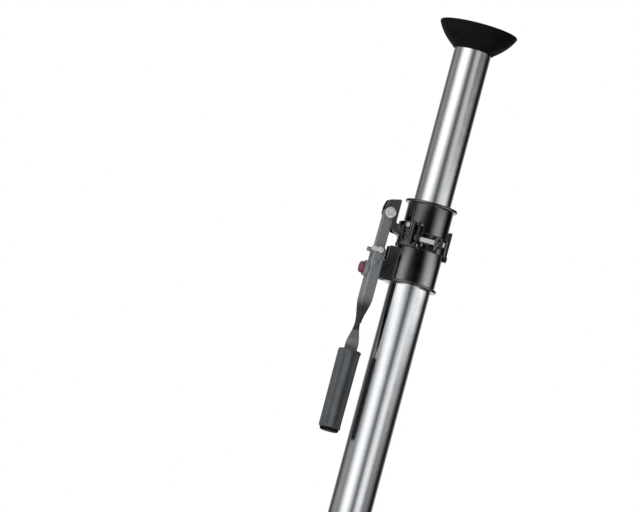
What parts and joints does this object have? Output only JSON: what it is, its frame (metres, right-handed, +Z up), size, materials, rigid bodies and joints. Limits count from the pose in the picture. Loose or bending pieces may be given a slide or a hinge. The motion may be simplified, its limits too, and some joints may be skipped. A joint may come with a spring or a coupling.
{
  "type": "floor to ceiling tension pole",
  "caption": "Telescoping aluminium pole that a toggle lever jams between floor and ceiling, with rubber cups, black collars, a red release button and a ribbed hand grip.",
  "frame": {"origin": "middle of the foot cup's sole, where the pole's axis meets the floor", "axes": "+Z up along the pole, the lever hangs on the -X side and swings out towards -X, +Y away from a viewer who has the lever on the left"},
  "size_m": [0.1012, 0.084, 2.1],
  "materials": {
    "anodised": "satin anodised tube",
    "black_paint": "glossy black enamel",
    "grey_paint": "satin grey paint",
    "black_rubber": "matt black rubber",
    "grey_rubber": "matt dark grey ribbed rubber",
    "zinc": "bright zinc plate",
    "dark_steel": "blackened steel",
    "spring_steel": "spring steel",
    "white_nylon": "natural nylon",
    "black_plastic": "matt black plastic",
    "red_plastic": "glossy red plastic"
  },
  "bodies": {
    "base_pole": {"outer_tube": "anodised", "foot_cup": "black_rubber", "foot_plug": "black_plastic", "foot_cone": "zinc", "foot_bolt": "zinc", "lower_collar": "black_paint", "guide_bush": "white_nylon", "guide_key": "black_plastic", "key_screw": "dark_steel", "collar_screw_right": "dark_steel", "collar_screw_left": "dark_steel", "fulcrum_pin_front": "grey_paint", "fulcrum_pin_back": "grey_paint", "catch_spring": "spring_steel"},
    "lever": {"lever_arm": "grey_paint", "hand_grip": "grey_rubber", "grip_end_cap": "black_rubber", "toggle_pin": "zinc", "pin_keeper_front": "zinc", "pin_keeper_back": "zinc", "pawl_pin": "grey_paint", "button_bezel": "grey_paint", "button_spring": "spring_steel"},
    "button": {"release_button": "red_plastic"},
    "pawl": {"latch_pawl": "spring_steel"},
    "lift_collar": {"upper_collar": "black_paint", "collar_bush": "white_nylon", "grip_ring": "black_paint", "ring_pad": "black_rubber", "swing_pin": "dark_steel", "pinch_bolt": "zinc", "pinch_nut": "dark_steel", "yoke_screw_front": "zinc", "yoke_screw_back": "zinc", "top_pin": "zinc", "top_clip": "zinc"},
    "link": {"link_arm": "grey_paint"},
    "inner_pole": {"inner_tube": "anodised", "inner_bush": "white_nylon", "head_cup": "black_rubber", "head_plug": "black_plastic", "head_cone": "zinc", "head_bolt": "zinc"}
  },
  "joints": [
    {"name": "lever_swing", "type": "hinge", "parent": "base_pole", "child": "lever", "pos_m": [-0.0435, 0, 1.83513], "axis": [0, 1, 0], "range_deg": [0, 85], "deforming": ["catch_spring"]},
    {"name": "button_press", "type": "slide", "parent": "lever", "child": "button", "axis": [1, 0, 0], "range_m": [0, 0.0025], "stiffness_N_per_m": 900, "springref_m": -0.001, "deforming": ["button_spring"]},
    {"name": "pawl_lift", "type": "hinge", "parent": "lever", "child": "pawl", "pos_m": [-0.0451, 0, 1.82743], "axis": [0, 1, 0], "range_deg": [-25.5, 0]},
    {"name": "collar_lift", "type": "slide", "parent": "base_pole", "child": "lift_collar", "axis": [0, 0, 1], "range_m": [-0.00485, 0]},
    {"name": "link_swing", "type": "hinge", "parent": "lift_collar", "child": "link", "pos_m": [-0.0435, 0, 1.8829], "axis": [0, 1, 0], "range_deg": [-10.85, 0]},
    {"name": "pole_extend", "type": "slide", "parent": "lift_collar", "child": "inner_pole", "axis": [0, 0, 1], "range_m": [0, 1.6]}
  ],
  "couplings": [
    {"joint": "collar_lift", "follows": "lever_swing", "m_per_rad": -0.0032018},
    {"joint": "link_swing", "follows": "lever_swing", "ratio": -0.12176},
    {"joint": "pawl_lift", "follows": "button_press", "rad_per_m": -174.53}
  ]
}
